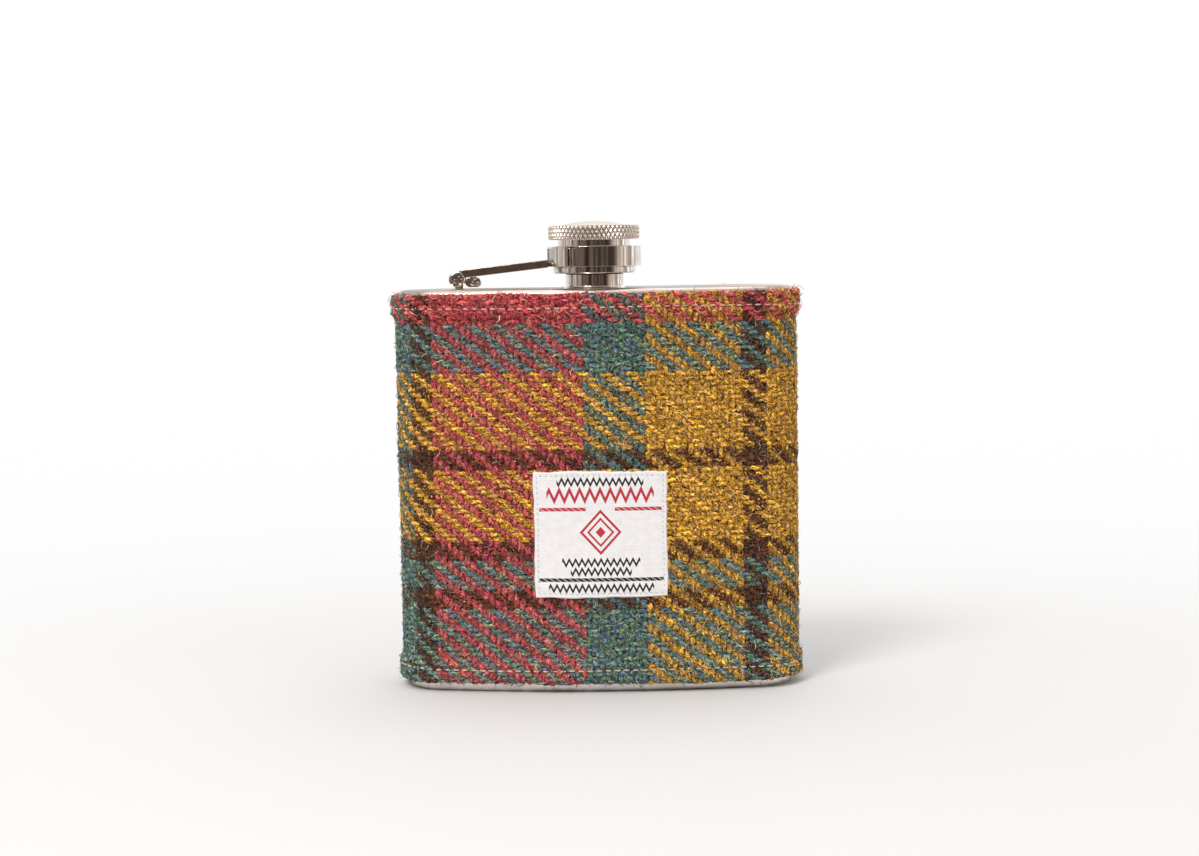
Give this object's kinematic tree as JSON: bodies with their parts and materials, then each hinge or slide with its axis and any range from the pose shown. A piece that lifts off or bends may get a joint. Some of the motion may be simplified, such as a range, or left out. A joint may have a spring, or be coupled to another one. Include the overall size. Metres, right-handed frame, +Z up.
{
  "type": "hip flask",
  "caption": "Curved steel hip flask in a stitched checked wool sleeve, with a knurled screw cap held captive by a hinged swing arm.",
  "frame": {"origin": "centre of the footprint, on the surface that the flask stands on", "axes": "+Z up along the neck, +X towards the side away from the hinge, -Y out of the convex labelled front"},
  "size_m": [0.0996, 0.0292, 0.1118],
  "materials": {
    "flask_steel": "satin, drawn stainless steel",
    "polished_steel": "polished stainless steel",
    "dark_steel": "smooth steel, dark in reflection",
    "knurled_steel": "diamond knurl on the rim, satin dome",
    "braze": "bright brazed fillet",
    "seal": "white silicone",
    "film": "clear bonding film",
    "tweed": "checked 2/2 twill wool tweed",
    "thread": "polyester sewing thread",
    "label": "white damask-woven label",
    "label_thread": "white thread"
  },
  "bodies": {
    "flask": {"body_shell": "flask_steel", "shoulder_pan": "flask_steel", "base_pan": "flask_steel", "neck_tube": "polished_steel", "neck_braze": "braze", "hinge_post": "polished_steel", "bonding_film": "film", "tweed_sleeve": "tweed", "top_stitching": "thread", "bottom_stitching": "thread", "lap_stitching": "thread", "woven_label": "label", "label_stitching": "label_thread"},
    "arm": {"swing_arm": "dark_steel", "captive_strap": "polished_steel", "hinge_pin": "polished_steel", "arm_heel": "polished_steel"},
    "cap": {"cap_head": "knurled_steel", "cap_sleeve": "polished_steel", "cap_seal": "seal"}
  },
  "joints": [
    {"name": "arm_swing", "type": "hinge", "parent": "flask", "child": "arm", "pos_m": [-0.0328, -0.00162, 0.0985], "axis": [0, -1, 0], "range_deg": [0, 172]},
    {"name": "cap_turn", "type": "hinge", "parent": "arm", "child": "cap", "pos_m": [0, -0.00162, 0.1], "axis": [0, 0, 1], "continuous": true}
  ]
}
